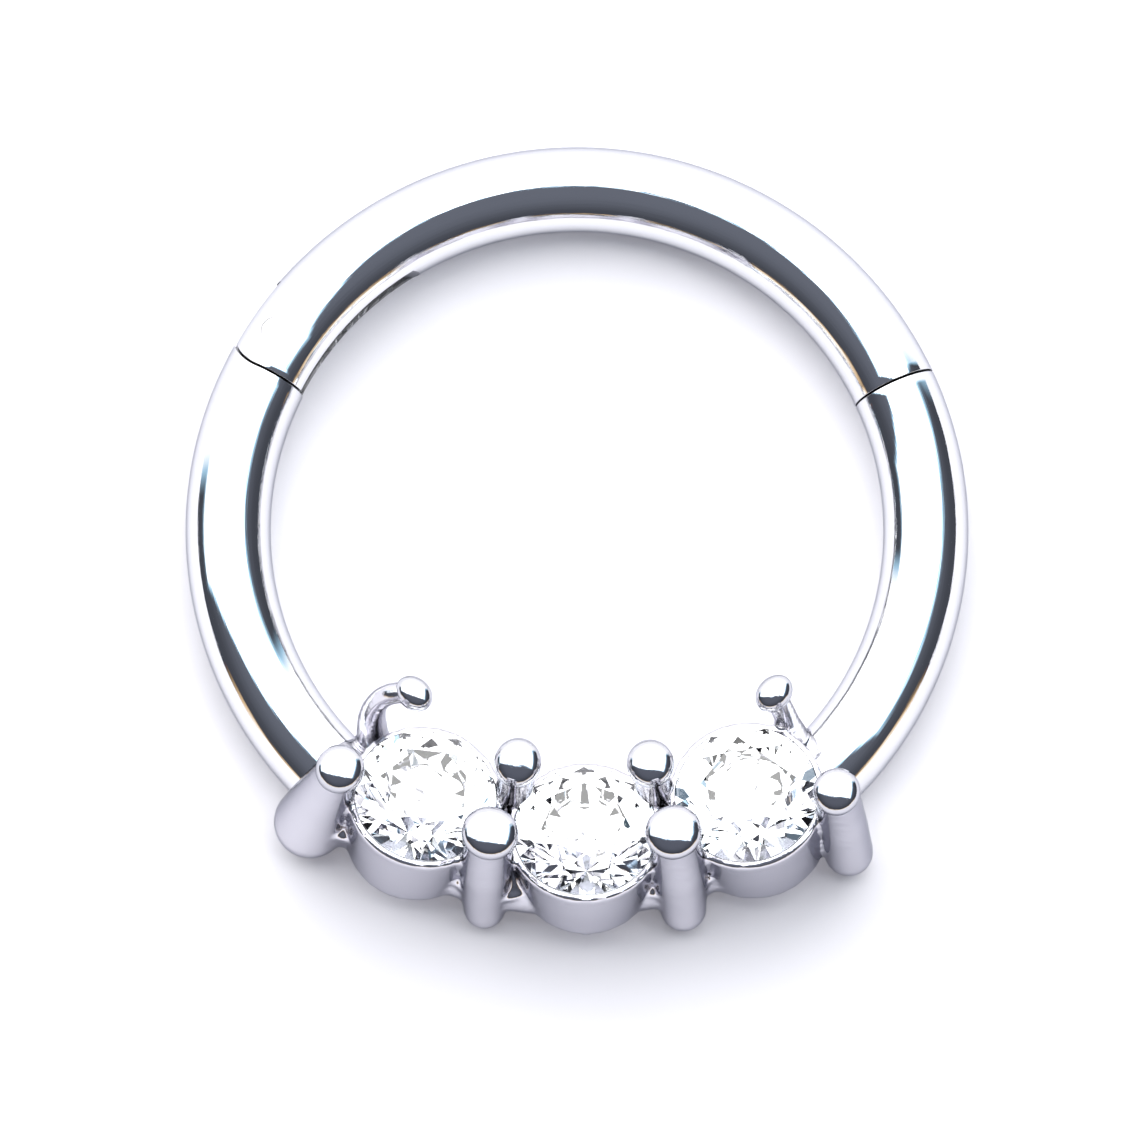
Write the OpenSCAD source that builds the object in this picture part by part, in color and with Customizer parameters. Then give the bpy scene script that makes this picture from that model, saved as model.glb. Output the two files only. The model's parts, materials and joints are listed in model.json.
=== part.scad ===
// Hinged septum ring with three round stones, lying on its side.
// Clock angles are degrees clockwise from the middle of the hinged segment, seen from above.

/* [Ring] */
// Inner diameter of the closed ring
inner_d = 8.6; // [8.4:0.1:9]
// Diameter of the round wire
wire_d = 1.2; // [1.15:0.05:1.25]
// Gap between the segment and the ring at both joints
joint_gap = 0.03; // [0.02:0.01:0.05]

/* [Hinge and clasp] */
// Clock angle of the hinge pin
pin_clock = -57; // [-60:1:-54]
// Clock angle of the clasp joint
clasp_clock = 65.6; // [60:0.2:70]
// Hinge pin diameter
pin_d = 0.36; // [0.3:0.02:0.4]
// Distance of the pin outside the middle of the wire
pin_out = 0.17; // [0.14:0.01:0.18]
// Radius of the rounded hinge end of the segment, about the pin
knuckle_r = 0.55; // [0.53:0.01:0.56]
// Thickness of the tongue that the pin runs through
tongue_t = 0.41; // [0.36:0.01:0.44]
// Radius of the stud that clicks into the ring at the clasp
stud_r = 0.3; // [0.24:0.02:0.32]

/* [Stones] */
// Diameter of each round stone
stone_d = 2; // [1.9:0.05:2]
// Table width as a share of the stone's diameter
table_share = 0.56; // [0.53:0.01:0.6]
// Crown height as a share of the stone's diameter
crown_share = 0.15; // [0.13:0.01:0.16]
// Pavilion depth as a share of the stone's diameter
pavilion_share = 0.43; // [0.41:0.01:0.44]
// Height of the girdle's lower edge above the middle of the wire
girdle_up = 1.2; // [1.15:0.05:1.3]

/* [Setting] */
// Thickness of the cup wall outside the girdle
cup_wall = 0.09; // [0.07:0.01:0.1]
// Diameter of the wider front prong posts
front_post_d = 0.68; // [0.6:0.02:0.7]
// Diameter of the slimmer back prong posts
back_post_d = 0.44; // [0.4:0.02:0.48]
// Gap between a stone and the metal
stone_gap = 0.025; // [0.02:0.005:0.03]

/* [Hidden] */
$fn = 96;

ring_r = (inner_d + wire_d) / 2;
wire_r = wire_d / 2;

// The ring's centre lies behind the middle of the whole outline, because the setting stands proud.
centre_y = 0.1675;

// Clock angle over which a length runs along the middle of the wire.
function wire_angle(length) = length / ring_r * 180 / PI;

// Hinge: how far the joint line is turned to run straight at the ring's centre.
hinge_turn = 6.2;
// Half the size of the cutting shapes about the pin.
hinge_reach = 1.6;
tongue_r = 0.42;
tongue_root = 0.45;
tongue_inset = 0.03;
// The gaps: the slot is wider than the tongue, the pin turns in the tongue and is pressed in the cheeks.
slot_room = 0.04;
running_gap = 0.015;
press_gap = 0.005;

// Saw slot in the segment: clock angles past the pin and distances from the wire's middle.
slot_back_clock = -16;
slot_outer = [4, 0.9];
slot_inner = [31, -0.76];

// Clasp stud: its sphere is sunk by this share of its radius.
stud_sink = 0.5;
socket_gap = 0.03;

// The cup's foot is narrower than the stone, and a prong's post is narrower than its round foot.
cup_taper = 0.06;
post_step = 0.04;

// Stones, a row each: clock angle, lean towards the ring's centre, height of the cup's foot.
STONE_CLOCK = 0;
STONE_LEAN = 1;
CUP_FOOT = 2;
left_stone = [207.6, 15, -0.22];
centre_stone = [178.5, 16, -0.12];
right_stone = [149.6, 10, -0.22];
stones = [left_stone, centre_stone, right_stone];

// Prongs, a row each: the bead at the tip and the rounded foot, each with its clock angle,
// its distance outside the middle of the wire, its height above it and its diameter.
front_prongs = [
    [[221.5, 0.14, 2.08, 0.72], [221.5, 0.68, -0.08, 1]],
    [[194.8, -0.03, 2.1, 0.72], [193.5, 0.5, -0.22, 0.7]],
    [[163.8, 0, 2.1, 0.72], [164.8, 0.54, -0.22, 0.7]],
    [[138, 0.54, 2.1, 0.7], [140.4, 1, -0.22, 0.68]]
];
back_prongs = [
    [[220.1, -1.45, 1.78, 0.58], [220.7, -0.72, 0.1, 0.56]],
    [[192.4, -1.17, 1.8, 0.58], [192.4, -0.55, 0, 0.56]],
    [[164.8, -1.09, 1.8, 0.58], [164.8, -0.5, 0, 0.56]],
    [[133.8, -1.03, 1.84, 0.58], [135, -0.5, 0, 0.56]]
];

// Webs of cast metal between the cups and the prongs, a row each: clock angle, distance outside
// the middle of the wire, heights of the foot and the top above it, and diameter.
webs = [
    [217, 0.48, -0.1, 0.8, 0.6],
    [193.4, 0.25, -0.2, 0.9, 0.8],
    [164.2, 0.25, -0.2, 0.9, 0.8],
    [142.6, 0.58, -0.1, 0.8, 0.55]
];

// Facet sizes, worked out so that each eight-fold row of kite facets is flat.
half_step = 360 / 16;
girdle_share = 0.03;
lower_share = 0.23;
girdle_r = stone_d / 2;
girdle_t = girdle_share * stone_d;
crown_h = crown_share * stone_d;
pavilion_h = pavilion_share * stone_d;
table_r = table_share * stone_d / 2;
star_r = (table_r + girdle_r) / 2;
star_h = (girdle_r - star_r * cos(half_step)) * crown_h / (girdle_r - table_r);
lower_r = lower_share * girdle_r;
lower_h = lower_r * cos(half_step) * pavilion_h / girdle_r;

function ring_point(clock, out, up) =
    [(ring_r + out) * sin(clock), (ring_r + out) * cos(clock), up];
function flat_point(clock, out) = [(ring_r + out) * sin(clock), (ring_r + out) * cos(clock)];

// Points of one level of a stone, evenly spaced about its axis.
function level(count, r, z, turn = 0) =
    [for (i = [0:count - 1]) [r * cos(i * 360 / count + turn), r * sin(i * 360 / count + turn), z]];

// Stands the ring on the ground with its outline about the origin.
module placed() {
    translate([0, centre_y, wire_r]) children();
}

// At a clock angle on the middle of the wire: x runs clockwise, y points outwards.
module at_clock(clock) {
    rotate([0, 0, -clock]) translate([0, ring_r, 0]) children();
}

module wire_arc(from_clock, to_clock, d = wire_d) {
    rotate_extrude(angle = to_clock - from_clock, start = 90 - to_clock)
        translate([ring_r, 0]) circle(d = d);
}

// The hinge's own frame: the pin's axis, with y along the joint line.
module at_pin() {
    at_clock(pin_clock) translate([0, pin_out, 0]) rotate([0, 0, hinge_turn]) children();
}

// What lies on the segment's side of the joint: round outside the pin, straight inside it.
module segment_side(r) {
    circle(r = r);
    translate([-r, -hinge_reach]) square([r + hinge_reach, hinge_reach]);
    translate([0, -hinge_reach]) square([hinge_reach, 2 * hinge_reach]);
}

module upright(h) {
    translate([0, 0, -h / 2]) linear_extrude(height = h) children();
}

module pin_hole(gap) {
    at_pin() cylinder(h = 2 * wire_d, d = pin_d + 2 * gap, center = true);
}

module hinge_tongue() {
    intersection() {
        wire_arc(pin_clock + slot_back_clock, pin_clock - slot_back_clock, wire_d - 2 * tongue_inset);
        at_pin() upright(tongue_t) {
            circle(r = tongue_r);
            translate([-knuckle_r - tongue_root, -tongue_r])
                square([knuckle_r + tongue_root, 2 * tongue_r]);
        }
    }
}

module clasp_ball(r) {
    at_clock(clasp_clock) translate([-stud_sink * stud_r - joint_gap / 2, 0, 0]) sphere(r = r);
}

// The lower arc of the wire, with the hollow shoulder of the hinge.
module lower_wire() {
    difference() {
        wire_arc(clasp_clock + wire_angle(joint_gap / 2), 360 + pin_clock);
        at_pin() upright(2 * wire_d) segment_side(knuckle_r + joint_gap);
    }
}

// A stone's own frame: its axis crosses the middle of the wire and leans to the ring's centre.
module at_stone(row) {
    at_clock(row[STONE_CLOCK]) rotate([row[STONE_LEAN], 0, 0]) children();
}

module cup(row) {
    foot = row[CUP_FOOT];
    at_stone(row) translate([0, 0, foot])
        cylinder(h = girdle_up - foot, r1 = girdle_r - cup_taper, r2 = girdle_r + cup_wall);
}

// The stone's shape with room around it, cut out of the cup and the prongs.
module stone_room(row) {
    wide = girdle_r + stone_gap;
    crown_foot = girdle_up + girdle_t;
    top = crown_foot + crown_h + stone_gap;
    point = girdle_up - pavilion_h;
    at_stone(row) rotate_extrude() polygon([
        [0, point - 2 * stone_gap],
        [lower_r + stone_gap, point + lower_h - stone_gap],
        [wide, girdle_up - stone_gap / 2],
        [wide, crown_foot + stone_gap / 2],
        [star_r + stone_gap, crown_foot + star_h + stone_gap],
        [table_r + stone_gap, top],
        [0, top]
    ]);
}

// One prong: a round post between two points, with a larger bead at the tip.
module prong(tip, foot, post_d) {
    from = ring_point(foot[0], foot[1], foot[2]);
    to = ring_point(tip[0], tip[1], tip[2]);
    run = to - from;
    translate(from) {
        sphere(d = foot[3]);
        rotate([0, acos(run[2] / norm(run)), atan2(run[1], run[0])])
            cylinder(h = norm(run), d1 = foot[3] - post_step, d2 = post_d);
    }
    translate(to) sphere(d = tip[3]);
}

module web(row) {
    translate(ring_point(row[0], row[1], row[2])) cylinder(h = row[3] - row[2], d = row[4]);
}

module setting() {
    for (row = stones) cup(row);
    for (row = webs) web(row);
    for (p = front_prongs) prong(p[0], p[1], front_post_d);
    for (p = back_prongs) prong(p[0], p[1], back_post_d);
}

// Lower arc, hinge tongue and cast setting, soldered into one piece.
module ring_body() {
    color("silver") placed() difference() {
        union() {
            lower_wire();
            hinge_tongue();
            setting();
        }
        for (row = stones) stone_room(row);
        pin_hole(running_gap);
        clasp_ball(stud_r + socket_gap);
    }
}

// Upper arc that swings out on the pin and clicks shut at the clasp.
module hinged_segment() {
    slot_shape = [
        flat_point(pin_clock + slot_back_clock, slot_outer[1]),
        flat_point(pin_clock + slot_outer[0], slot_outer[1]),
        flat_point(pin_clock + slot_inner[0], slot_inner[1]),
        flat_point(pin_clock + slot_back_clock, slot_inner[1])
    ];
    color("silver") placed() difference() {
        union() {
            wire_arc(pin_clock + slot_back_clock, clasp_clock - wire_angle(joint_gap / 2));
            clasp_ball(stud_r);
        }
        at_pin() upright(2 * wire_d) difference() {
            translate([-hinge_reach, -hinge_reach]) square([hinge_reach, 2 * hinge_reach]);
            segment_side(knuckle_r);
        }
        upright(tongue_t + slot_room) polygon(slot_shape);
        pin_hole(press_gap);
    }
}

// Pin fixed in the segment's two cheeks, its ends flush with the round wire.
module hinge_pin() {
    color("gainsboro") placed() intersection() {
        at_pin() cylinder(h = wire_d, d = pin_d, center = true);
        wire_arc(pin_clock + slot_back_clock, pin_clock - slot_back_clock, wire_d - 2 * press_gap);
    }
}

// Round brilliant: table, stars, kites, girdle, lower facets and a point at the foot.
module brilliant() {
    points = concat(
        [[0, 0, -pavilion_h]],
        level(8, lower_r, lower_h - pavilion_h, half_step),
        level(16, girdle_r, 0),
        level(16, girdle_r, girdle_t),
        level(8, star_r, girdle_t + star_h, half_step),
        level(8, table_r, girdle_t + crown_h)
    );
    // Where each level's points start in the list.
    low = 1;
    girdle_low = low + 8;
    girdle_top = girdle_low + 16;
    star = girdle_top + 16;
    table = star + 8;
    faces = concat(
        [for (i = [0:7]) [0, low + (i + 7) % 8, girdle_low + 2 * i, low + i]],
        [for (i = [0:7]) [low + i, girdle_low + 2 * i, girdle_low + 2 * i + 1]],
        [for (i = [0:7]) [low + i, girdle_low + 2 * i + 1, girdle_low + (2 * i + 2) % 16]],
        [for (i = [0:15], j = [(i + 1) % 16])
            [girdle_low + i, girdle_top + i, girdle_top + j, girdle_low + j]],
        [for (i = [0:7]) [star + i, girdle_top + 2 * i + 1, girdle_top + 2 * i]],
        [for (i = [0:7]) [star + i, girdle_top + (2 * i + 2) % 16, girdle_top + 2 * i + 1]],
        [for (i = [0:7]) [table + i, star + i, girdle_top + 2 * i, star + (i + 7) % 8]],
        [for (i = [0:7]) [table + i, table + (i + 1) % 8, star + i]],
        [[for (i = [0:7]) table + 7 - i]]
    );
    polyhedron(points, faces);
}

module set_stone(row) {
    color("azure") placed() at_stone(row) translate([0, 0, girdle_up]) brilliant();
}

module stone_left() {
    set_stone(left_stone);
}

module stone_centre() {
    set_stone(centre_stone);
}

module stone_right() {
    set_stone(right_stone);
}

ring_body();
hinged_segment();
hinge_pin();
stone_left();
stone_centre();
stone_right();
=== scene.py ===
import json
import math
import bmesh
import bpy
from mathutils import Matrix, Vector


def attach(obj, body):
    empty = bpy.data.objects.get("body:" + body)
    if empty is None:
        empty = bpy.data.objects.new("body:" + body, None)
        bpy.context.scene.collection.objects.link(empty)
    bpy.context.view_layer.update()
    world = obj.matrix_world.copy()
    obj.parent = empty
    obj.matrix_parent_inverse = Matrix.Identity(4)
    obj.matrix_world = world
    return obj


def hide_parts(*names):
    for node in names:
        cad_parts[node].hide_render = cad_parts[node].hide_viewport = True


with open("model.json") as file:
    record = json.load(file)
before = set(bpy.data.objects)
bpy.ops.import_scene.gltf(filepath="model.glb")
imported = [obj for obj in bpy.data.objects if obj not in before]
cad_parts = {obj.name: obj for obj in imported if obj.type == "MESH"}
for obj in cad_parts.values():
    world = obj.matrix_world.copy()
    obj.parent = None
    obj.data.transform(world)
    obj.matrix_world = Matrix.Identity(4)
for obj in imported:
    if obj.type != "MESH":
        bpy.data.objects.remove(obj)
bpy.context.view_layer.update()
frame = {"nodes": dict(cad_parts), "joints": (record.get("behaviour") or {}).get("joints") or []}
print("frame loaded:", len(frame["nodes"]), "nodes")

perMetre = 1000
millimetre = 0.001
hair = 0.0001  # a length too small to see

# Lengths in the settings are millimetres, and completePiece() turns each mesh into metres.
# Clock angles are degrees clockwise from the middle of the hinged segment, seen from above.
# out and up are distances from the middle of the wire, away from the ring's centre and upwards.
wire = {
    "ringRadius": 4.9,
    "radius": 0.6,
    "centre": Vector((0, 0.1675, 0.6)),
    "sides": 96,
    "stepDegrees": 1.5,
    "edgeRound": 0.01,
    "plainEnds": (0.6, 0.2),  # rings of a plain end, as shares of the radius
}
hinge = {
    "turn": 6.2,  # how far the joint line is turned from a straight line to the ring's centre
    "knuckle": 0.55,  # radius of the segment's rounded end about the pin
    "gap": 0.03,
    "widest": 0.98,  # share of the knuckle's radius that the round stretch of the joint line uses
    "tries": 9,  # steps in which a point of the joint line is found
}
clasp = {
    "clock": 65.6,
    "gap": 0.03,
    "studRadius": 0.3,
    "studSunk": 0.165,  # the stud's centre lies this far behind the joint's middle
    "socketRadius": 0.33,
    "flat": (0.5, 0.38),  # rings of the flat face round them
}
weld = {"merge": 0.0004, "thinnest": 0.0002, "pole": 0.0005}  # closer corners become one

# Finishes. Every metal takes its hairlines, waves and pits from one shared group of nodes.
# The last number of each metal is how strongly painted shade darkens its colour in corners and creases.
metals = {
    "polishedWire": {
        "colour": (0.82, 0.822, 0.84), "roughness": 0.04, "lines": 0.5, "waves": 0.12, "pits": 0,
        "cornerShade": 0.35},
    "castMetal": {
        "colour": (0.71, 0.7, 0.75), "roughness": 0.16, "lines": 0.1, "waves": 0.2, "pits": 0.12,
        "cornerShade": 0.8},
    "shadedSeatMetal": {  # inside the stones' cups, smoother, and darker as painted shade under the stones
        "colour": (0.33, 0.32, 0.37), "roughness": 0.1, "lines": 0.3, "waves": 0.2, "pits": 0.3,
        "cornerShade": 0.1},
    "headMetal": {  # the prongs' heads are polished more than the rest of the casting
        "colour": (0.62, 0.62, 0.66), "roughness": 0.07, "lines": 0.2, "waves": 0.2, "pits": 0.08,
        "cornerShade": 0.9},
    # Sawn faces are rough, and their dark colour is painted shade for the narrow joint gaps.
    "sawnShadedMetal": {
        "colour": (0.34, 0.34, 0.36), "roughness": 0.36, "lines": 1.6, "waves": 0.3, "pits": 0.9,
        "cornerShade": 0.7},
    "pinMetal": {
        "colour": (0.80, 0.80, 0.82), "roughness": 0.1, "lines": 0.9, "waves": 0.3, "pits": 0.2,
        "cornerShade": 0.4},
}
marks = {
    "hairScale": 26,  # hairlines across a millimetre
    "hairStretch": 0.035,  # they are this much longer along the wire than across it
    "hairHeight": 0.0025,
    "hairDetail": 5,
    "waveScale": 0.55,
    "waveHeight": 0.16,
    "waveDetail": 1,
    "pitScale": 9,
    "pitHeight": 0.006,
    "pitDetail": 3,
    "noiseMiddle": 0.5,
    "pitRange": (0.34, 0.5),  # noise below this range is a pit
    "lineRough": 0.1,
    "pitRough": 0.06,
    "lineShade": 0.05,
    "pitShade": 0.08,
    "leastRough": 0.02,
    # Painted shade in corners and creases: the AO node's rays and reach, and the AO range over which it
    # fades.
    "cornerShadeRays": 4,
    "cornerShadeReach": 0.45,
    "cornerShadeRange": (0.08, 0.46),  # how open a corner is, the range over which the painted shade fades out
    "edgeTint": (0.45, 0.46, 0.5, 1),  # metal darkens where it is seen at a low angle
}
glass = {
    "colour": (0.985, 0.99, 1, 1),
    "ior": 2.15,
    "polish": 0.004,  # roughness of the facets
    "girdle": 0.28,  # and of the ground girdle
    "hazeScale": 4000,
    "hazeDetail": 3,
}


def put(tree, socket, value):
    # links another node's output to a socket, or sets a plain value
    if isinstance(value, bpy.types.NodeSocket):
        tree.links.new(value, socket)
    else:
        socket.default_value = value


def calculate(tree, operation, *values):
    node = tree.nodes.new("ShaderNodeMath")
    node.operation = operation
    for socket, value in zip(node.inputs, values):
        put(tree, socket, value)
    return node.outputs[0]


def softStep(tree, value, low, high):
    node = tree.nodes.new("ShaderNodeMapRange")
    node.interpolation_type = "SMOOTHSTEP"
    put(tree, node.inputs["Value"], value)
    node.inputs["From Min"].default_value = low
    node.inputs["From Max"].default_value = high
    return node.outputs["Result"]


def noiseAt(tree, vector, scale, detail):
    node = tree.nodes.new("ShaderNodeTexNoise")
    put(tree, node.inputs["Vector"], vector)
    node.inputs["Scale"].default_value = scale
    node.inputs["Detail"].default_value = detail
    return node.outputs["Fac"]


def makePolishGroup():
    # hairlines that run along the wire, slow waves left by hand polishing, and casting pits
    group = bpy.data.node_groups.new("polishMarks", "ShaderNodeTree")
    for name in ("Plain Roughness", "Lines", "Waves", "Pits"):
        group.interface.new_socket(name, in_out="INPUT", socket_type="NodeSocketFloat")
    for name in ("Roughness", "Height", "Shade"):
        group.interface.new_socket(name, in_out="OUTPUT", socket_type="NodeSocketFloat")
    given = group.nodes.new("NodeGroupInput")
    result = group.nodes.new("NodeGroupOutput")

    def work(operation, *values):
        return calculate(group, operation, *values)

    place = group.nodes.new("ShaderNodeTexCoord")
    centred = group.nodes.new("ShaderNodeMapping")  # metres to millimetres about the ring's centre
    centred.inputs["Scale"].default_value = (perMetre, perMetre, perMetre)
    centred.inputs["Location"].default_value = -wire["centre"]
    group.links.new(place.outputs["Object"], centred.inputs["Vector"])
    parts = group.nodes.new("ShaderNodeSeparateXYZ")
    group.links.new(centred.outputs["Vector"], parts.inputs[0])
    x, y, up = parts.outputs
    reach = work("SQRT", work("ADD", work("MULTIPLY", x, x), work("MULTIPLY", y, y)))
    along = work("MULTIPLY", work("ARCTAN2", x, y), wire["ringRadius"])
    drawn = group.nodes.new("ShaderNodeCombineXYZ")
    put(group, drawn.inputs["X"], work("MULTIPLY", along, marks["hairStretch"]))
    put(group, drawn.inputs["Y"], reach)
    put(group, drawn.inputs["Z"], up)
    hairs = noiseAt(group, drawn.outputs[0], marks["hairScale"], marks["hairDetail"])
    lines = work("MULTIPLY", work("SUBTRACT", hairs, marks["noiseMiddle"]), given.outputs["Lines"])
    slow = noiseAt(group, centred.outputs["Vector"], marks["waveScale"], marks["waveDetail"])
    waves = work("MULTIPLY", work("SUBTRACT", slow, marks["noiseMiddle"]), given.outputs["Waves"])
    grains = noiseAt(group, centred.outputs["Vector"], marks["pitScale"], marks["pitDetail"])
    sunk = work("SUBTRACT", softStep(group, grains, *marks["pitRange"]), 1)
    pits = work("MULTIPLY", sunk, given.outputs["Pits"])
    height = work("MULTIPLY", waves, marks["waveHeight"])
    height = work("MULTIPLY_ADD", lines, marks["hairHeight"], height)
    height = work("MULTIPLY_ADD", pits, marks["pitHeight"], height)
    rough = work("MULTIPLY_ADD", lines, marks["lineRough"], given.outputs["Plain Roughness"])
    rough = work("MULTIPLY_ADD", pits, -marks["pitRough"], rough)
    shade = work("MULTIPLY_ADD", lines, marks["lineShade"], 1)
    shade = work("MULTIPLY_ADD", pits, marks["pitShade"], shade)
    put(group, result.inputs["Roughness"], work("MAXIMUM", rough, marks["leastRough"]))
    put(group, result.inputs["Height"], height)
    put(group, result.inputs["Shade"], shade)
    return group


polishGroup = makePolishGroup()


def makeMetal(name):
    look = metals[name]
    material = bpy.data.materials.new(name)
    material.use_nodes = True
    tree = material.node_tree
    shader = tree.nodes["Principled BSDF"]
    polish = tree.nodes.new("ShaderNodeGroup")
    polish.node_tree = polishGroup
    polish.inputs["Plain Roughness"].default_value = look["roughness"]
    for amount in ("Lines", "Waves", "Pits"):
        polish.inputs[amount].default_value = look[amount.lower()]
    corners = tree.nodes.new("ShaderNodeAmbientOcclusion")  # painted shade: the colour darkens in corners and creases that this node finds closed in
    corners.samples = marks["cornerShadeRays"]
    corners.inputs["Distance"].default_value = marks["cornerShadeReach"] * millimetre
    unshaded = softStep(tree, corners.outputs["AO"], *marks["cornerShadeRange"])
    unshaded = calculate(tree, "MULTIPLY_ADD", unshaded, look["cornerShade"], 1 - look["cornerShade"])
    shade = calculate(tree, "MULTIPLY", unshaded, polish.outputs["Shade"])
    tint = tree.nodes.new("ShaderNodeVectorMath")
    tint.operation = "SCALE"
    tint.inputs[0].default_value = look["colour"]
    put(tree, tint.inputs["Scale"], shade)
    bump = tree.nodes.new("ShaderNodeBump")
    bump.inputs["Distance"].default_value = millimetre
    put(tree, bump.inputs["Height"], polish.outputs["Height"])
    put(tree, shader.inputs["Base Color"], tint.outputs[0])
    put(tree, shader.inputs["Roughness"], polish.outputs["Roughness"])
    put(tree, shader.inputs["Normal"], bump.outputs["Normal"])
    shader.inputs["Metallic"].default_value = 1
    shader.inputs["Specular Tint"].default_value = marks["edgeTint"]
    return material


def makeGlass(name, roughness):
    material = bpy.data.materials.new(name)
    material.use_nodes = True
    tree = material.node_tree
    shader = tree.nodes["Principled BSDF"]
    shader.inputs["Base Color"].default_value = glass["colour"]
    shader.inputs["IOR"].default_value = glass["ior"]
    shader.inputs["Transmission Weight"].default_value = 1
    place = tree.nodes.new("ShaderNodeTexCoord")
    haze = noiseAt(tree, place.outputs["Object"], glass["hazeScale"], glass["hazeDetail"])
    uneven = calculate(tree, "MULTIPLY_ADD", haze, roughness, roughness / 2)
    put(tree, shader.inputs["Roughness"], uneven)
    return material


wireFinish = [makeMetal("polishedWire"), makeMetal("sawnShadedMetal")]
castFinish = [makeMetal("castMetal"), makeMetal("shadedSeatMetal"), makeMetal("headMetal")]
pinFinish = [makeMetal("pinMetal")]
stoneFinish = [makeGlass("clearStone", glass["polish"]), makeGlass("groundGirdle", glass["girdle"])]
print("finishes made")


def degreesAlong(length):
    return math.degrees(length / wire["ringRadius"])


def ringPoint(clock, out, up):
    angle = math.radians(clock)
    reach = wire["ringRadius"] + out
    return Vector((reach * math.sin(angle), reach * math.cos(angle), up))


def sectionOf(point, nearClock):
    # clock angle, out and up of a point; the clock angle is within half a turn of nearClock
    clock = math.degrees(math.atan2(point.x, point.y))
    clock = (clock - nearClock + 180) % 360 - 180 + nearClock
    return clock, math.hypot(point.x, point.y) - wire["ringRadius"], point.z


pinAt = Vector(frame["joints"][0]["pos_m"]) * perMetre - wire["centre"]
pinClock = sectionOf(pinAt, 0)[0]
pinTurn = Matrix.Rotation(math.radians(hinge["turn"] - pinClock), 3, "Z")
pinAlong = pinTurn @ Vector((1, 0, 0))  # towards the segment
pinAcross = pinTurn @ Vector((0, 1, 0))  # outwards


def hingeLine(radius):
    # the joint seen from above: straight on the inner side, round about the pin on the outer side
    known = {}

    def clockAt(out):
        key = round(out, 5)
        if key not in known:
            clock = pinClock
            for _ in range(hinge["tries"]):
                apart = ringPoint(clock, out, 0) - pinAt
                across = min(max(apart.dot(pinAcross), 0), radius * hinge["widest"])
                short = -math.sqrt(radius**2 - across**2) - apart.dot(pinAlong)
                clock += math.degrees(short / (wire["ringRadius"] + out))
            known[key] = clock
        return known[key]

    return clockAt


def straightLine(clock):
    return lambda out: clock


def claspLine(offset):
    return straightLine(clasp["clock"] + degreesAlong(offset))


def newPiece(name, bm, finishes=()):
    mesh = bpy.data.meshes.new(name)
    bm.to_mesh(mesh)
    bm.free()
    for material in finishes:
        mesh.materials.append(material)
    piece = bpy.data.objects.new(name, mesh)
    bpy.context.scene.collection.objects.link(piece)
    return piece


def applyModifiers(piece):
    bpy.context.view_layer.update()
    graph = bpy.context.evaluated_depsgraph_get()
    mesh = bpy.data.meshes.new_from_object(piece.evaluated_get(graph))
    piece.modifiers.clear()
    piece.data = mesh


def combine(piece, other, operation):
    # joins, cuts or trims a piece by another closed one, which is used up
    modifier = piece.modifiers.new("combine", "BOOLEAN")
    modifier.operation = operation
    modifier.solver = "EXACT"
    modifier.object = other
    applyModifiers(piece)
    bpy.data.objects.remove(other)


def completePiece(piece, body, sharpDegrees=35, flat=False):
    # cleans the mesh, marks its edges, sets its place in metres and gives it to its body
    bm = bmesh.new()
    bm.from_mesh(piece.data)
    bmesh.ops.remove_doubles(bm, verts=bm.verts, dist=weld["merge"])
    bmesh.ops.dissolve_degenerate(bm, edges=bm.edges, dist=weld["thinnest"])
    bmesh.ops.recalc_face_normals(bm, faces=bm.faces)
    for face in bm.faces:
        face.smooth = not flat
    for edge in bm.edges:
        edge.smooth = edge.calc_face_angle(0) < math.radians(sharpDegrees)
    openEdges = sum(not edge.is_manifold for edge in bm.edges)
    triangles = sum(len(face.verts) - 2 for face in bm.faces)
    bm.to_mesh(piece.data)
    bm.free()
    piece.data.transform(Matrix.Scale(millimetre, 4) @ Matrix.Translation(wire["centre"]))
    piece.data.update()
    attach(piece, body)
    print(piece.name, "has", triangles, "triangles,", openEdges, "open edges")


def newOf(made, kind):
    return [item for item in made["geom"] if isinstance(item, kind)]


def wireTube(bm, startLine, endLine, radius):
    # a stretch of wire between two joint lines; gives back the edges of its two rims
    start, end = startLine(0), endLine(0)
    stand = Matrix.Rotation(math.radians(-start), 4, "Z") @ Matrix.Translation((0, wire["ringRadius"], 0))
    stand = stand @ Matrix.Rotation(math.radians(90), 4, "Y")
    made = bmesh.ops.create_circle(bm, cap_ends=False, segments=wire["sides"], radius=radius, matrix=stand)
    rim = list({edge for vert in made["verts"] for edge in vert.link_edges})
    steps = max(2, round((end - start) / wire["stepDegrees"]))
    bmesh.ops.spin(
        bm, geom=made["verts"] + rim, cent=(0, 0, 0), axis=(0, 0, 1), dvec=(0, 0, 0),
        angle=math.radians(start - end), steps=steps, use_merge=False, use_duplicate=False)
    middle = (start + end) / 2
    for vert in bm.verts:
        clock, out, up = sectionOf(vert.co, middle)
        share = (clock - start) / (end - start)
        vert.co = ringPoint(startLine(out) * (1 - share) + endLine(out) * share, out, up)
    rims = [edge for edge in bm.edges if edge.is_boundary]
    first = [edge for edge in rims if sectionOf(edge.verts[0].co, middle)[0] < middle]
    last = [edge for edge in rims if edge not in set(first)]
    return first, last


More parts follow.
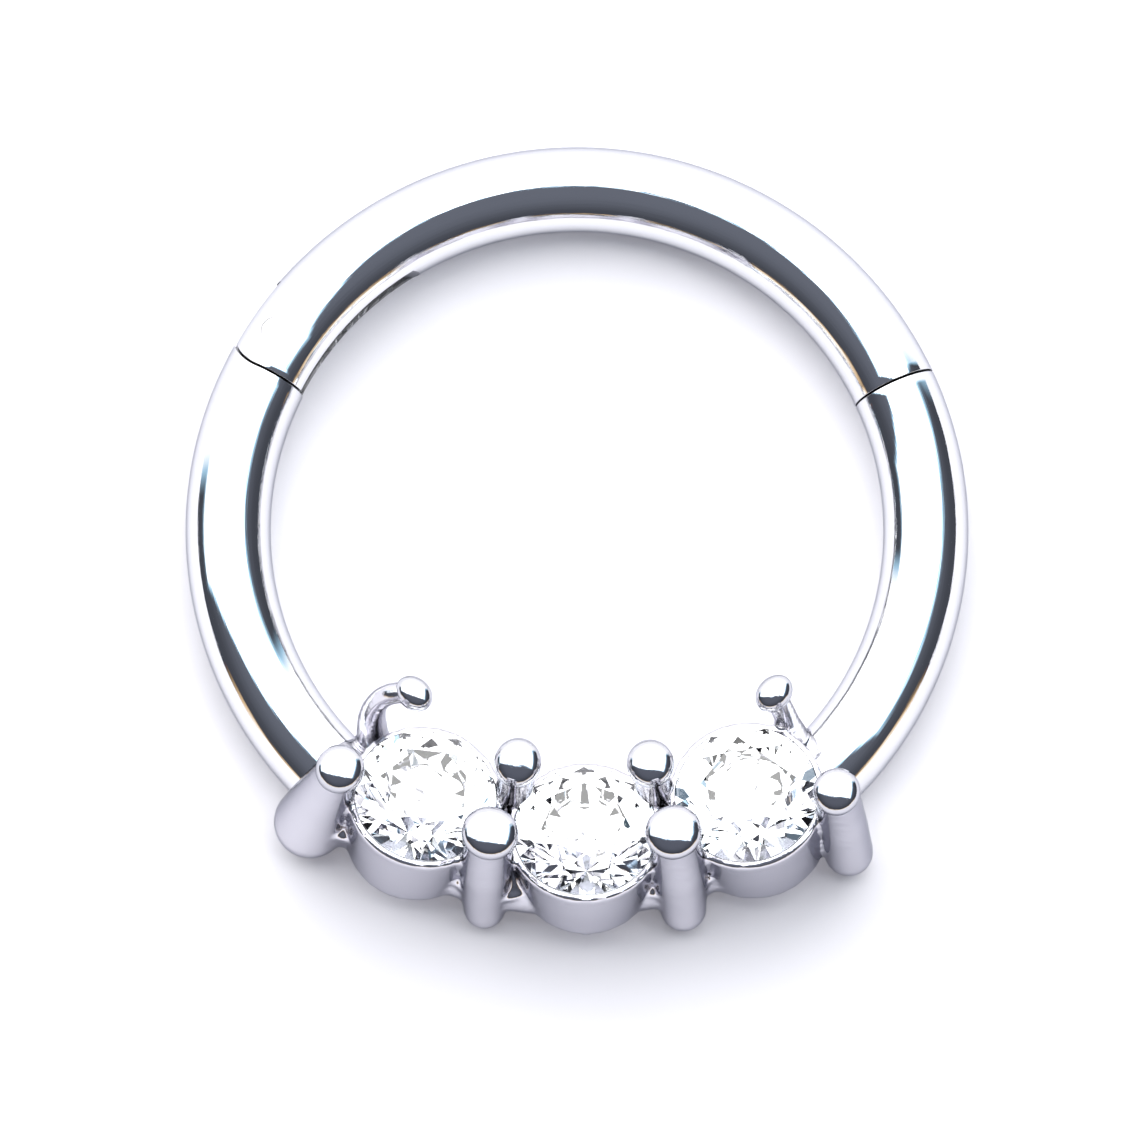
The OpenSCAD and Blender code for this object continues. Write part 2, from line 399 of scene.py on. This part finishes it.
def closeEnd(bm, rim, line, away, profile):
    # carries a rim on through rings of the profile's (radius, distance past the joint line) to a pole
    for radius, past in profile:
        made = bmesh.ops.extrude_edge_only(bm, edges=rim)
        rim = newOf(made, bmesh.types.BMEdge)
        for face in newOf(made, bmesh.types.BMFace):
            face.material_index = int(past == 0)  # flat rings are the sawn face, darkened with painted shade
        for vert in newOf(made, bmesh.types.BMVert):
            _, out, up = sectionOf(vert.co, line(0))
            size = math.hypot(out, up)
            out, up = out / size * radius, up / size * radius
            vert.co = ringPoint(line(out) + away * degreesAlong(past), out, up)
    middle = ringPoint(line(0) + away * degreesAlong(profile[-1][1]), 0, 0)
    cap = bmesh.ops.contextual_create(bm, geom=rim)["faces"]
    cap[0].material_index = int(profile[-1][1] == 0)
    bmesh.ops.poke(bm, faces=cap)["verts"][0].co = middle


def flatRings(*radii):
    return [(radius, 0) for radius in radii]


def roundedEdge(radius, edgeRound):
    turns = [math.radians(angle) for angle in (30, 60, 90)]
    return [(radius - edgeRound * (1 - math.cos(t)), edgeRound * (math.sin(t) - 1)) for t in turns]


def ballRings(ballRadius, centrePast, rim, count=10):
    # rings of a ball that stands past the joint line, from its rim to near its pole
    radii = [rim * math.cos(math.radians(90 * i / count)) for i in range(count)]
    return [(radius, math.sqrt(ballRadius**2 - radius**2) + centrePast) for radius in radii]


def edgedTube(bm, startLine, endLine, startProfile, endProfile):
    # a closed stretch of wire with rounded edges at both ends
    back = degreesAlong(wire["edgeRound"])
    first, last = wireTube(
        bm, lambda out: startLine(out) + back, lambda out: endLine(out) - back, wire["radius"])
    edge = roundedEdge(wire["radius"], wire["edgeRound"])
    closeEnd(bm, first, startLine, -1, edge + startProfile)
    closeEnd(bm, last, endLine, 1, edge + endProfile)
    bmesh.ops.recalc_face_normals(bm, faces=bm.faces)


def plainTube(name, startClock, endClock, radius, finishes):
    # a closed stretch of wire with plain ends, for joining to other pieces
    bm = bmesh.new()
    lines = straightLine(startClock), straightLine(endClock)
    first, last = wireTube(bm, *lines, radius)
    rings = flatRings(*[radius * share for share in wire["plainEnds"]])
    closeEnd(bm, first, lines[0], -1, rings)
    closeEnd(bm, last, lines[1], 1, rings)
    bmesh.ops.recalc_face_normals(bm, faces=bm.faces)
    return newPiece(name, bm, finishes)


def innerFinish(bm):
    # a cutter leaves its piece's second finish: sawn on the wire, dark with painted shade for the joint
    # gaps, and smooth in the cups, dark with painted shade under the stones
    for face in bm.faces:
        face.material_index = 1


# The two ends of each joint: flat at the hinge, a stud and its socket at the clasp.
plainFace = flatRings(0.53, 0.45, 0.36, 0.27, 0.18, 0.09)
studPast = clasp["gap"] / 2 - clasp["studSunk"]
socketPast = -clasp["gap"] / 2 - clasp["studSunk"]
studRim = math.sqrt(clasp["studRadius"]**2 - studPast**2)
socketRim = math.sqrt(clasp["socketRadius"]**2 - socketPast**2)
studFace = flatRings(*clasp["flat"]) + ballRings(clasp["studRadius"], studPast, studRim)
socketBall = ballRings(clasp["socketRadius"], socketPast, socketRim)
socketFace = flatRings(*clasp["flat"]) + [(radius, -past) for radius, past in socketBall]

# Lower arc of the wire, from the clasp's socket round under the stones to the hinge's tongue.
tongue = {
    "thickness": 0.41,
    "reach": 0.42,  # radius of its end about the pin
    "root": 1.0,  # how far it is let into the wire
    "inset": 0.03,  # its edges lie this far under the wire's skin
    "skinClocks": (-13, 16),  # stretch of wire skin that trims it, from the pin
    "pinRoom": 0.015,
}
pin = {
    "radius": 0.18,
    "seam": 0.006,
    "rings": 5,
    "eye": 0.5,  # size of the face in the middle of its ends, in ring widths
    "holeLength": 1.6,
    "sides": 64,
}


def pinHole(room):
    bm = bmesh.new()
    radius = pin["radius"] + room
    bmesh.ops.create_cone(
        bm, cap_ends=True, segments=pin["sides"], radius1=radius, radius2=radius, depth=pin["holeLength"],
        matrix=Matrix.Translation(pinAt))
    innerFinish(bm)
    return newPiece("pinHole", bm, wireFinish)


def raisedPlate(name, bm, thickness):
    # gives a flat outline its thickness, half above and half below
    made = bmesh.ops.extrude_face_region(bm, geom=bm.faces[:])
    bmesh.ops.translate(bm, verts=newOf(made, bmesh.types.BMVert), vec=(0, 0, thickness))
    bmesh.ops.translate(bm, verts=bm.verts, vec=(0, 0, -thickness / 2))
    bmesh.ops.recalc_face_normals(bm, faces=bm.faces)
    innerFinish(bm)
    return newPiece(name, bm, wireFinish)


def makeTongue():
    bm = bmesh.new()
    made = bmesh.ops.create_circle(bm, cap_ends=True, segments=wire["sides"], radius=tongue["reach"])
    for vert in made["verts"]:
        if vert.co.x < -hair:
            vert.co.x -= tongue["root"]
    bmesh.ops.transform(bm, verts=bm.verts, matrix=Matrix.Translation(pinAt) @ pinTurn.to_4x4())
    plate = raisedPlate("plate", bm, tongue["thickness"])
    clocks = [pinClock + clock for clock in tongue["skinClocks"]]
    combine(plate, plainTube("skin", *clocks, wire["radius"] - tongue["inset"], wireFinish), "INTERSECT")
    combine(plate, pinHole(tongue["pinRoom"]), "DIFFERENCE")
    return plate


def makeLowerWire():
    bm = bmesh.new()
    shoulder = hingeLine(hinge["knuckle"] + hinge["gap"])
    edgedTube(bm, claspLine(clasp["gap"] / 2), lambda out: shoulder(out) + 360, socketFace, plainFace)
    piece = newPiece("lower_wire", bm, wireFinish)
    combine(piece, makeTongue(), "UNION")
    return piece


print("making the lower wire")
lowerWire = makeLowerWire()

# Hinged segment: fork end about the pin, saw slot for the tongue, stud at the clasp.
slot = {
    "height": 0.45,
    "start": -16,  # clock angle from the pin at which the saw enters
    "outer": (4, 0.9),  # clock angle past the pin and distance out, at the outer end of the slot's floor
    "inner": (31, -0.76),
}


def makeSlotCutter():
    bm = bmesh.new()
    places = [
        (slot["start"], slot["outer"][1]), slot["outer"], slot["inner"], (slot["start"], slot["inner"][1])]
    corners = [bm.verts.new(ringPoint(pinClock + past, out, 0)) for past, out in places]
    bmesh.ops.contextual_create(bm, geom=corners)
    return raisedPlate("slotCutter", bm, slot["height"])


def makeSegment():
    bm = bmesh.new()
    edgedTube(bm, hingeLine(hinge["knuckle"]), claspLine(-clasp["gap"] / 2), plainFace, studFace)
    piece = newPiece("segment_wire", bm, wireFinish)
    combine(piece, makeSlotCutter(), "DIFFERENCE")
    combine(piece, pinHole(pin["seam"]), "DIFFERENCE")
    return piece


print("making the hinged segment")
segmentWire = makeSegment()
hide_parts("hinged_segment")
completePiece(segmentWire, "segment")


# Hinge pin, its two ends ground flush with the round wire.
def makePin():
    bm = bmesh.new()
    rise = wire["radius"] - pin["seam"]
    bmesh.ops.create_cone(
        bm, cap_ends=False, segments=pin["sides"], radius1=pin["radius"], radius2=pin["radius"], depth=1,
        matrix=Matrix.Translation(pinAt))
    for above in (True, False):
        rim = [edge for edge in bm.edges if edge.is_boundary and (edge.verts[0].co.z > 0) == above]
        for ring in range(pin["rings"]):
            made = bmesh.ops.extrude_edge_only(bm, edges=rim)
            rim = newOf(made, bmesh.types.BMEdge)
            narrower = 1 - 1 / (pin["rings"] - ring + pin["eye"])
            for vert in newOf(made, bmesh.types.BMVert):
                vert.co.xy = pinAt.xy.lerp(vert.co.xy, narrower)
        bmesh.ops.contextual_create(bm, geom=rim)
    for vert in bm.verts:
        _, out, _ = sectionOf(vert.co, pinClock)
        vert.co.z = math.copysign(math.sqrt(rise**2 - out**2), vert.co.z)
    return newPiece("pin_wire", bm, pinFinish)


print("making the pin")
hingePin = makePin()
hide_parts("hinge_pin")
completePiece(hingePin, "segment")

# Stones: clock angle, lean towards the ring's centre, height of the cup's foot and its radius.
stoneRows = {
    "left": (207.6, 15, -0.22, 0.96),
    "centre": (178.5, 16, -0.12, 0.94),
    "right": (149.6, 10, -0.22, 1.04),
}
cut = {
    "radius": 1.0,
    "girdleUp": 1.2,  # height of the girdle's lower edge above the middle of the wire
    "girdle": 0.06,
    "table": 0.56,  # radius of the table, and below it those of the star and lower facets' corners
    "star": 0.78,
    "lower": 0.23,
    "crown": 0.36,
    "pavilion": 0.86,
    "sides": 96,
    "folds": 8,
    "halfStep": 360 / 16,
    "planeWidth": 0.00001,  # corners this close to a facet's plane lie in it
    "upright": 0.05,  # a face whose normal rises less than this belongs to the girdle
    "inside": Vector((0, 0, -0.1)),  # a point within the stone
}
halfCosine = math.cos(math.radians(cut["halfStep"]))
cut["top"] = cut["girdle"] + cut["crown"]
cut["starHeight"] = cut["girdle"] + (
    (cut["radius"] - cut["star"] * halfCosine) * cut["crown"] / (cut["radius"] - cut["table"]))
cut["lowerHeight"] = (cut["lower"] * halfCosine - 1) * cut["pavilion"]


def stonePlace(row):
    clock, lean = row[:2]
    turn = Matrix.Rotation(math.radians(-clock), 4, "Z") @ Matrix.Translation((0, wire["ringRadius"], 0))
    return turn @ Matrix.Rotation(math.radians(lean), 4, "X")


def polar(radius, degrees, height):
    angle = math.radians(degrees)
    return Vector((radius * math.cos(angle), radius * math.sin(angle), height))


def cutFacet(bm, a, b, c):
    # cuts a stone along the plane through three points and closes the cut
    normal = (b - a).cross(c - a).normalized()
    if normal.dot(a - cut["inside"]) < 0:
        normal.negate()
    made = bmesh.ops.bisect_plane(
        bm, geom=bm.verts[:] + bm.edges[:] + bm.faces[:], dist=cut["planeWidth"], plane_co=a,
        plane_no=normal, clear_outer=True)
    edges = [item for item in made["geom_cut"] if isinstance(item, bmesh.types.BMEdge)]
    if len(edges) > 2:
        bmesh.ops.contextual_create(bm, geom=edges)


def makeStone(name, row):
    # a round brilliant: table, 8 stars, 8 kites, 16 upper and 16 lower halves, 8 mains
    bm = bmesh.new()
    radius, girdle, top = cut["radius"], cut["girdle"], cut["top"]
    blank = radius + cut["pavilion"]
    bmesh.ops.create_cone(
        bm, cap_ends=True, segments=cut["sides"], radius1=radius, radius2=radius, depth=2 * blank)
    cutFacet(bm, *[polar(cut["table"], angle, top) for angle in (0, 120, 240)])
    culet = Vector((0, 0, -cut["pavilion"]))
    step = 2 * cut["halfStep"]
    for i in range(cut["folds"]):
        angle = i * step
        between = angle + cut["halfStep"]
        level = polar(1, angle + 90, 0)
        edge = polar(radius, angle, 0)
        upper = polar(radius, angle, girdle)
        cutFacet(bm, upper, polar(cut["table"], angle, top), upper + level)
        cutFacet(bm, edge, culet, edge + level)
        star = polar(cut["star"], between, cut["starHeight"])
        cutFacet(bm, star, polar(cut["table"], angle, top), polar(cut["table"], angle + step, top))
        low = polar(cut["lower"], between, cut["lowerHeight"])
        for first in (angle, between):
            ends = [polar(radius, first + turn, 0) for turn in (0, cut["halfStep"])]
            cutFacet(bm, low, *ends)
            cutFacet(bm, star, *[end + Vector((0, 0, girdle)) for end in ends])
    for face in bm.faces:
        face.material_index = int(abs(face.normal.z) < cut["upright"])  # the girdle is ground
    bmesh.ops.transform(
        bm, verts=bm.verts, matrix=stonePlace(row) @ Matrix.Translation((0, 0, cut["girdleUp"])))
    return newPiece(name, bm, stoneFinish)


print("cutting the stones")
for side, row in stoneRows.items():
    stone = makeStone("brilliant_" + side, row)
    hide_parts("stone_" + side)
    completePiece(stone, "ring", flat=True)

# Cast setting: three cups on the wire, with four front and four back prongs and webs between them.
setting = {
    "cupRim": 1.1,
    "rimRise": 0.03,
    "stoneGap": 0.014,
    "wireGap": 0.026,  # the wire is cut back further than the casting that covers it
    "coreRadius": 0.585,  # the wire inside the casting, just under its skin
    "coreClocks": (131, 227),
    "coatRadius": 0.635,  # between the outer posts the casting covers the wire
    "coatClocks": (141.5, 219),
    "coatRise": 0.05,
    "headPower": 0.77,  # 1 gives round heads, and less gives them flatter tops and steeper sides
    "headSides": (64, 40),
    "postSteps": 8,
    "postSides": 32,
    "ballDivisions": 3,
    "cupSides": 96,
    "voxel": 0.036,
    "smoothing": 13,
    "smoothFactor": 0.5,
}
# tip, bend and foot are clock angle, out and up, with the post's diameter for the last two;
# neck is its diameter under the head, and head is that one's width, depth, height and lean
# towards the ring's centre in degrees.
prongRows = {
    "frontLeft": {
        "tip": (220.4, 0.2, 2.22), "head": (0.68, 0.70, 0.44, 8), "neck": 0.62,
        "bend": (221.4, 0.46, 0.97, 0.82), "foot": (221.9, 0.7, -0.08, 1.04)},
    "frontInnerLeft": {
        "tip": (194.2, 0.05, 2.22), "head": (0.80, 0.76, 0.44, 8), "neck": 0.70,
        "bend": (194.1, 0.32, 0.94, 0.70), "foot": (193.6, 0.62, -0.24, 0.60)},
    "frontInnerRight": {
        "tip": (164.3, 0.07, 2.22), "head": (0.80, 0.76, 0.44, 2), "neck": 0.74,
        "bend": (164.2, 0.34, 0.94, 0.74), "foot": (164.5, 0.68, -0.22, 0.66)},
    "frontRight": {
        "tip": (139.3, 0.65, 2.22), "head": (0.67, 0.66, 0.44, 1), "neck": 0.62,
        "bend": (139.6, 0.84, 0.94, 0.68), "foot": (140.2, 1.05, -0.2, 0.7)},
    "backLeft": {
        "tip": (219.8, -1.345, 1.84), "head": (0.56, 0.44, 0.4, 8), "neck": 0.31,
        "bend": (225.4, -0.98, 1.36, 0.32), "foot": (222.5, -0.7, 0.1, 0.5)},
    "backInnerLeft": {
        "tip": (192.6, -1.1, 1.8), "head": (0.66, 0.70, 0.44, -4), "neck": 0.5,
        "bend": (192.4, -0.82, 0.9, 0.5), "foot": (192.4, -0.55, 0, 0.6)},
    "backInnerRight": {
        "tip": (164.6, -1.04, 1.8), "head": (0.66, 0.68, 0.44, 3), "neck": 0.5,
        "bend": (164.8, -0.76, 0.9, 0.5), "foot": (164.8, -0.5, 0, 0.6)},
    "backRight": {
        "tip": (134.8, -1.02, 1.86), "head": (0.58, 0.46, 0.4, 4), "neck": 0.34,
        "bend": (134.8, -0.74, 0.92, 0.34), "foot": (135, -0.5, 0, 0.46)},
}
# Webs: clock angle, out, foot, top and diameter.
webRows = [
    (217.6, 0.42, -0.1, 0.5, 0.66),
    (196.4, 0.2, -0.2, 0.5, 0.8),
    (191, 0.2, -0.2, 0.5, 0.8),
    (167, 0.2, -0.2, 0.5, 0.8),
    (161.6, 0.2, -0.2, 0.5, 0.8),
    (142.2, 0.5, -0.1, 0.5, 0.6),
]


def addCone(bm, low, high, lowSize, highSize):
    run = high - low
    place = Matrix.Translation((low + high) / 2) @ run.to_track_quat("Z", "Y").to_matrix().to_4x4()
    bmesh.ops.create_cone(
        bm, cap_ends=True, segments=setting["postSides"], radius1=lowSize / 2, radius2=highSize / 2,
        depth=run.length, matrix=place)


def addPost(bm, row):
    # a smooth post through tip, bend and foot, as short cones with balls between
    tip, bend, foot = [ringPoint(*row[end][:3]) for end in ("tip", "bend", "foot")]
    tipSize, bendSize, footSize = row["neck"], row["bend"][3], row["foot"][3]
    handle = bend * 2 - (tip + foot) / 2
    last, lastSize = tip, tipSize
    for step in range(1, setting["postSteps"] + 1):
        t = step / setting["postSteps"]
        point = tip * (1 - t) ** 2 + handle * 2 * t * (1 - t) + foot * t**2
        size = bendSize + (tipSize - bendSize) * max(0, 1 - 2 * t)
        size += (footSize - bendSize) * max(0, 2 * t - 1)
        addCone(bm, last, point, lastSize, size)
        bmesh.ops.create_icosphere(
            bm, subdivisions=setting["ballDivisions"], radius=size / 2, matrix=Matrix.Translation(point))
        last, lastSize = point, size


def makeHeads():
    # the flattened beads that hold the stones, each leaning over towards the ring's centre
    bm = bmesh.new()
    power = setting["headPower"]
    around, upwards = setting["headSides"]
    for row in prongRows.values():
        wide, deep, tall, lean = row["head"]
        verts = bmesh.ops.create_uvsphere(bm, u_segments=around, v_segments=upwards, radius=1)["verts"]
        for vert in verts:
            level = max(vert.co.xy.length, hair)
            vert.co.xy *= level ** (power - 1)
            vert.co.z = math.copysign(abs(vert.co.z) ** power, vert.co.z)
        place = Matrix.Translation(ringPoint(*row["tip"]))
        place = place @ Matrix.Rotation(math.radians(-row["tip"][0]), 4, "Z")
        place = place @ Matrix.Rotation(math.radians(lean), 4, "X")
        place = place @ Matrix.Diagonal((wide / 2, deep / 2, tall / 2, 1))
        bmesh.ops.transform(bm, verts=verts, matrix=place)
    bmesh.ops.recalc_face_normals(bm, faces=bm.faces)
    for face in bm.faces:
        face.material_index = 2  # headMetal
    return newPiece("heads", bm, castFinish)


def makeRooms(gap, finishes):
    # what the three stones take up, with a little room round them
    radius = cut["radius"]
    outline = [
        (0, -cut["pavilion"] - 2 * gap),
        (cut["lower"] + gap, cut["lowerHeight"] - gap),
        (radius + gap, -gap / 2),
        (radius + gap, cut["girdle"] + gap / 2),
        (cut["star"] + gap, cut["starHeight"] + gap),
        (cut["table"] + gap, cut["top"] + gap),
        (0, cut["top"] + gap),
    ]
    bm = bmesh.new()
    for row in stoneRows.values():
        before = set(bm.verts)
        verts = [bm.verts.new((x, 0, z)) for x, z in outline]
        edges = [bm.edges.new(pair) for pair in zip(verts, verts[1:])]
        bmesh.ops.spin(
            bm, geom=verts + edges, cent=(0, 0, 0), axis=(0, 0, 1), dvec=(0, 0, 0),
            angle=2 * math.pi, steps=cut["sides"], use_merge=True, use_duplicate=False)
        made = [vert for vert in bm.verts if vert not in before]
        bmesh.ops.remove_doubles(bm, verts=made, dist=weld["pole"])
        made = [vert for vert in bm.verts if vert not in before]
        place = stonePlace(row) @ Matrix.Translation((0, 0, cut["girdleUp"]))
        bmesh.ops.transform(bm, verts=made, matrix=place)
    bmesh.ops.recalc_face_normals(bm, faces=bm.faces)
    innerFinish(bm)
    return newPiece("rooms", bm, finishes)


def makeSetting():
    bm = bmesh.new()
    for row in stoneRows.values():
        low = stonePlace(row) @ Vector((0, 0, row[2]))
        high = stonePlace(row) @ Vector((0, 0, cut["girdleUp"] + setting["rimRise"]))
        run = high - low
        place = Matrix.Translation((low + high) / 2) @ stonePlace(row).to_3x3().to_4x4()
        bmesh.ops.create_cone(
            bm, cap_ends=True, segments=setting["cupSides"], radius1=row[3], radius2=setting["cupRim"],
            depth=run.length, matrix=place)
    for row in prongRows.values():
        addPost(bm, row)
    for clock, out, low, high, size in webRows:
        addCone(bm, ringPoint(clock, out, low), ringPoint(clock, out, high), size, size)
    core = plainTube("core", *setting["coreClocks"], setting["coreRadius"], castFinish)
    coat = plainTube("coat", *setting["coatClocks"], setting["coatRadius"], castFinish)
    coat.data.transform(Matrix.Translation((0, 0, setting["coatRise"])))
    for tube in (core, coat):
        bm.from_mesh(tube.data)
        bpy.data.objects.remove(tube)
    piece = newPiece("casting", bm, castFinish)
    remesh = piece.modifiers.new("fuse", "REMESH")
    remesh.mode = "VOXEL"
    remesh.voxel_size = setting["voxel"]
    soften = piece.modifiers.new("soften", "SMOOTH")
    soften.factor = setting["smoothFactor"]
    soften.iterations = setting["smoothing"]
    applyModifiers(piece)
    combine(piece, makeHeads(), "UNION")
    combine(piece, makeRooms(setting["stoneGap"], castFinish), "DIFFERENCE")
    return piece


print("casting the setting")
casting = makeSetting()
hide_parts("ring_body")
completePiece(casting, "ring", sharpDegrees=40)
combine(lowerWire, makeRooms(setting["wireGap"], wireFinish), "DIFFERENCE")
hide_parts("ring_body")
completePiece(lowerWire, "ring")

# Studio: a white floor, a white tent that is open towards the camera, and a long lens.
floorLook = {  # a lit white sheet
    "size": 1600,
    "squares": 4,
    "colour": (0.84, 0.83, 0.87, 1),
    "roughness": 0.8,
    "glow": 0.14,
}
tent = {
    "strength": 2.4,
    "background": 1.0,
    "edge": -0.03,  # how far back the opening's edge lies, as y of a direction's unit vector
    "softness": 0.03,
    "leftRise": (0.5, 0.16),  # from this x on, the edge lies this much further back for each unit
    "rightFall": (0.1, 0.43),
    "rimAhead": (0.15, 0.45),  # low in front the tent's skirt is light again
    "rimHeight": (0.05, 0.2),
    "rightSide": (0.6, 0.78),  # its right side is dark, from this x on
    "rightBack": (0.5, 0.64),  # as far back as this y
    "leftSide": (0.74, 0.86),  # and its left side is dark low down
    "leftBack": (0.28, 0.42),
    "leftHeight": (0.28, 0.4),
    "overhead": (0.2, 0.95),  # the tent's roof shines more than its walls
    "wallShare": 0.62,
    "roofShare": 1.4,
    "stoneHeight": (0.45, 0.65),  # seen through a stone, the opening is light above this height
    "stoneLight": 0.88,
}
openingColours = [(0, (1, 1, 1, 1)), (0.5, (0.30, 0.48, 0.62, 1)), (1, (0.046, 0.05, 0.062, 1))]
skirtColours = [(0, (0, 0, 0, 1)), (0.5, (0.62, 0.44, 0.26, 1)), (1, (0.96, 0.93, 0.86, 1))]
view = {
    "lens": 1000,
    "sensor": 36,
    "elevation": 78,
    "width": 16.01,  # what the picture spans at the target
    "target": (-0.098, -0.384, 0.492),
    "clip": (0.01, 10),  # metres
}


def makeFloor():
    bm = bmesh.new()
    squares, size = floorLook["squares"], floorLook["size"] / 2 * millimetre
    bmesh.ops.create_grid(bm, x_segments=squares, y_segments=squares, size=size)
    material = bpy.data.materials.new("paleFloor")
    material.use_nodes = True
    shader = material.node_tree.nodes["Principled BSDF"]
    shader.inputs["Base Color"].default_value = floorLook["colour"]
    shader.inputs["Roughness"].default_value = floorLook["roughness"]
    shader.inputs["Emission Color"].default_value = floorLook["colour"]
    shader.inputs["Emission Strength"].default_value = floorLook["glow"]
    newPiece("studio_floor", bm, [material])


def colourRamp(tree, value, stops):
    ramp = tree.nodes.new("ShaderNodeValToRGB")
    put(tree, ramp.inputs["Fac"], value)
    elements = ramp.color_ramp.elements
    elements.new(stops[1][0])
    for element, (place, colour) in zip(elements, stops):
        element.position = place
        element.color = colour
    return ramp.outputs["Color"]


def makeTent():
    world = bpy.data.worlds.new("tent")
    world.use_nodes = True
    bpy.context.scene.world = world
    tree = world.node_tree
    tree.nodes.clear()

    def work(operation, *values):
        return calculate(tree, operation, *values)

    def beyond(value, start):
        return work("MAXIMUM", work("SUBTRACT", value, start), 0)

    place = tree.nodes.new("ShaderNodeTexCoord")
    parts = tree.nodes.new("ShaderNodeSeparateXYZ")
    tree.links.new(place.outputs["Generated"], parts.inputs[0])
    x, y, z = parts.outputs
    ahead = work("MULTIPLY", y, -1)
    leftStart, leftRise = tent["leftRise"]
    rightStart, rightFall = tent["rightFall"]
    edge = work("MULTIPLY_ADD", beyond(work("MULTIPLY", x, -1), leftStart), leftRise, tent["edge"])
    edge = work("MULTIPLY_ADD", beyond(x, rightStart), -rightFall, edge)
    opening = softStep(tree, work("ADD", edge, ahead), -tent["softness"], tent["softness"])
    rightBack = work("SUBTRACT", 1, softStep(tree, y, *tent["rightBack"]))
    right = work("MULTIPLY", softStep(tree, x, *tent["rightSide"]), rightBack)
    leftBack = work("SUBTRACT", 1, softStep(tree, y, *tent["leftBack"]))
    leftLow = work("SUBTRACT", 1, softStep(tree, z, *tent["leftHeight"]))
    left = work("MULTIPLY", softStep(tree, work("MULTIPLY", x, -1), *tent["leftSide"]), leftBack)
    sides = work("MAXIMUM", right, work("MULTIPLY", left, leftLow))
    opening = work("MAXIMUM", opening, sides)
    path = tree.nodes.new("ShaderNodeLightPath")
    inStone = path.outputs["Is Transmission Ray"]
    through = work("MULTIPLY", inStone, softStep(tree, z, *tent["stoneHeight"]))
    opening = work("MULTIPLY", opening, work("MULTIPLY_ADD", through, -tent["stoneLight"], 1))
    skirt = work("SUBTRACT", 1, softStep(tree, z, *tent["rimHeight"]))
    skirt = work("MULTIPLY", skirt, softStep(tree, ahead, *tent["rimAhead"]))
    skirt = work("MULTIPLY", skirt, work("SUBTRACT", 1, inStone))
    lighter = tree.nodes.new("ShaderNodeMix")
    lighter.data_type = "RGBA"
    lighter.blend_type = "LIGHTEN"
    lighter.inputs["Factor"].default_value = 1
    colourSockets = [socket for socket in lighter.inputs if socket.type == "RGBA"]
    put(tree, colourSockets[0], colourRamp(tree, opening, openingColours))
    put(tree, colourSockets[1], colourRamp(tree, skirt, skirtColours))
    lit = tree.nodes.new("ShaderNodeBackground")
    mixed = next(socket for socket in lighter.outputs if socket.type == "RGBA")
    put(tree, lit.inputs["Color"], mixed)
    roof = softStep(tree, z, *tent["overhead"])
    share = work("MULTIPLY_ADD", roof, tent["roofShare"] - tent["wallShare"], tent["wallShare"])
    put(tree, lit.inputs["Strength"], work("MULTIPLY", share, tent["strength"]))
    plain = tree.nodes.new("ShaderNodeBackground")  # what the camera itself sees past the floor
    plain.inputs["Color"].default_value = (1, 1, 1, 1)
    plain.inputs["Strength"].default_value = tent["background"]
    chosen = tree.nodes.new("ShaderNodeMixShader")
    put(tree, chosen.inputs[0], path.outputs["Is Camera Ray"])
    tree.links.new(lit.outputs[0], chosen.inputs[1])
    tree.links.new(plain.outputs[0], chosen.inputs[2])
    result = tree.nodes.new("ShaderNodeOutputWorld")
    tree.links.new(chosen.outputs[0], result.inputs["Surface"])


def makeCamera():
    data = bpy.data.cameras.new("photo_camera")
    data.lens = view["lens"]
    data.sensor_width = view["sensor"]
    data.clip_start, data.clip_end = view["clip"]
    camera = bpy.data.objects.new("photo_camera", data)
    bpy.context.scene.collection.objects.link(camera)
    rise = math.radians(view["elevation"])
    back = Vector((0, -math.cos(rise), math.sin(rise)))
    distance = view["lens"] / view["sensor"] * view["width"]
    camera.location = (Vector(view["target"]) + back * distance) * millimetre
    camera.rotation_euler = back.to_track_quat("Z", "Y").to_euler()
    bpy.context.scene.camera = camera


print("setting up the studio")
makeFloor()
makeTent()
makeCamera()
bpy.context.scene.view_settings.view_transform = "Standard"


print("finished")
